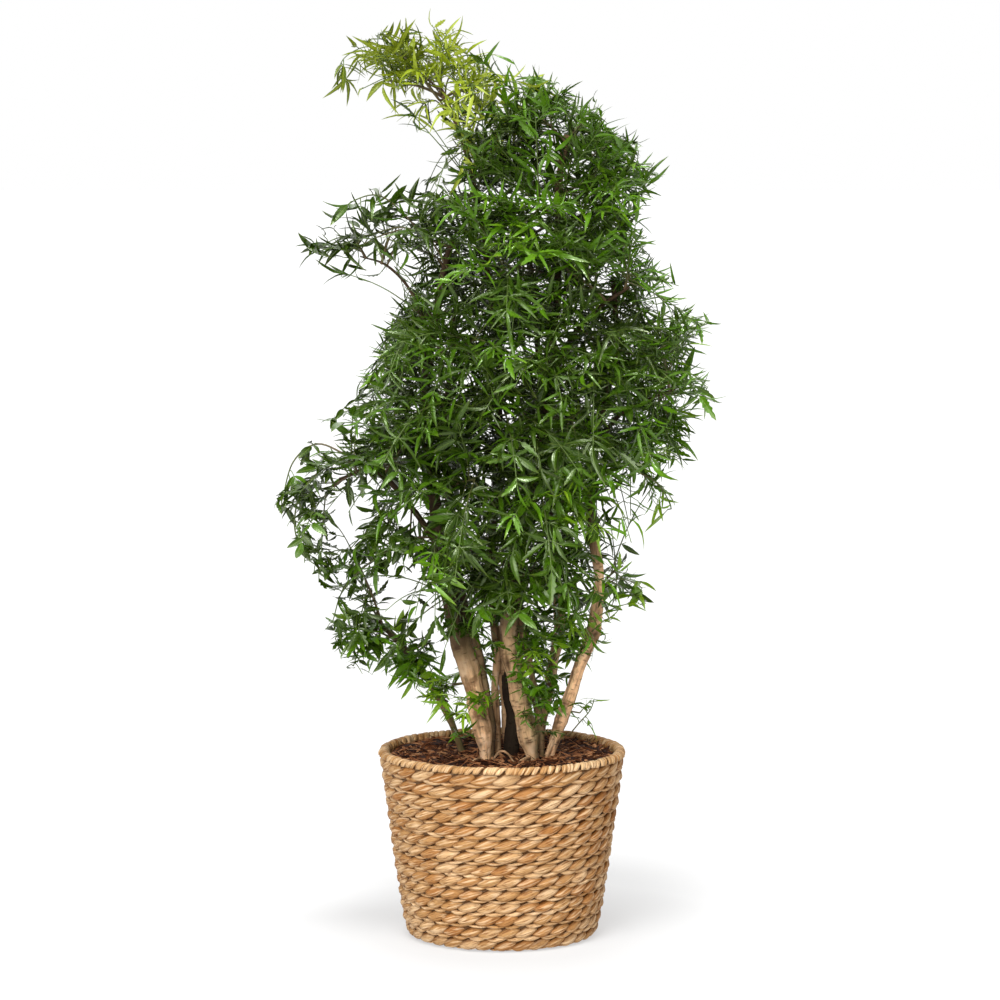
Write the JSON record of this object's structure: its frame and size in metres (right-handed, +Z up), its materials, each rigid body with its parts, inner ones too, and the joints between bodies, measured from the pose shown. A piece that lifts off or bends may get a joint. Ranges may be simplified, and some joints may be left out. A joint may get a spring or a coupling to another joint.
{
  "type": "potted ming aralia",
  "caption": "Tall ming aralia with several leaning trunks and dense drooping fronds of narrow toothed leaflets, potted in a tapered basket of plaited plant fibre",
  "frame": {"origin": "centre of the basket's flat underside, where the plant stands on the floor", "axes": "+Z is up along the plant, -Y is the pictured front, +X is to the right in the picture"},
  "size_m": [0.605, 0.499, 1.2156],
  "materials": {
    "plait_fibre": "dry plaited straw-coloured plant fibre, matt",
    "liner_plastic": "thin black moulded plastic",
    "potting_mix": "coarse damp coir chips and fibres",
    "bark": "rough tan bark",
    "young_leaf": "young yellow-green leaf, soft sheen",
    "leaf": "deep green leaf, soft sheen"
  },
  "bodies": {
    "root": {"basket": "plait_fibre", "liner": "liner_plastic", "soil": "potting_mix", "trunk_left": "bark", "trunk_middle": "bark", "trunk_thin": "bark", "trunk_right": "bark", "trunk_back_left": "bark", "trunk_back": "bark", "trunk_rear": "bark", "spray_01": "young_leaf", "spray_02": "young_leaf", "spray_03": "young_leaf", "spray_04": "leaf", "spray_05": "leaf", "spray_06": "leaf", "spray_07": "leaf", "spray_08": "leaf", "spray_09": "leaf", "spray_10": "leaf", "spray_11": "leaf", "spray_12": "leaf", "spray_13": "leaf", "spray_14": "leaf", "spray_15": "leaf", "spray_16": "leaf", "spray_17": "leaf", "spray_18": "leaf", "spray_19": "leaf", "spray_20": "leaf", "spray_21": "leaf", "spray_22": "leaf", "spray_23": "leaf", "spray_24": "leaf", "spray_25": "leaf", "spray_26": "leaf", "spray_27": "leaf", "spray_28": "leaf", "spray_29": "leaf", "spray_30": "leaf", "spray_31": "leaf", "spray_32": "leaf", "spray_33": "leaf", "spray_34": "leaf", "spray_35": "leaf", "spray_36": "leaf", "spray_37": "leaf", "spray_38": "leaf", "spray_39": "leaf", "spray_40": "leaf", "spray_41": "leaf", "spray_42": "leaf", "spray_43": "leaf", "spray_44": "leaf", "spray_45": "leaf", "spray_46": "leaf", "spray_47": "leaf", "spray_48": "leaf", "spray_49": "leaf", "spray_50": "leaf"}
  },
  "joints": []
}
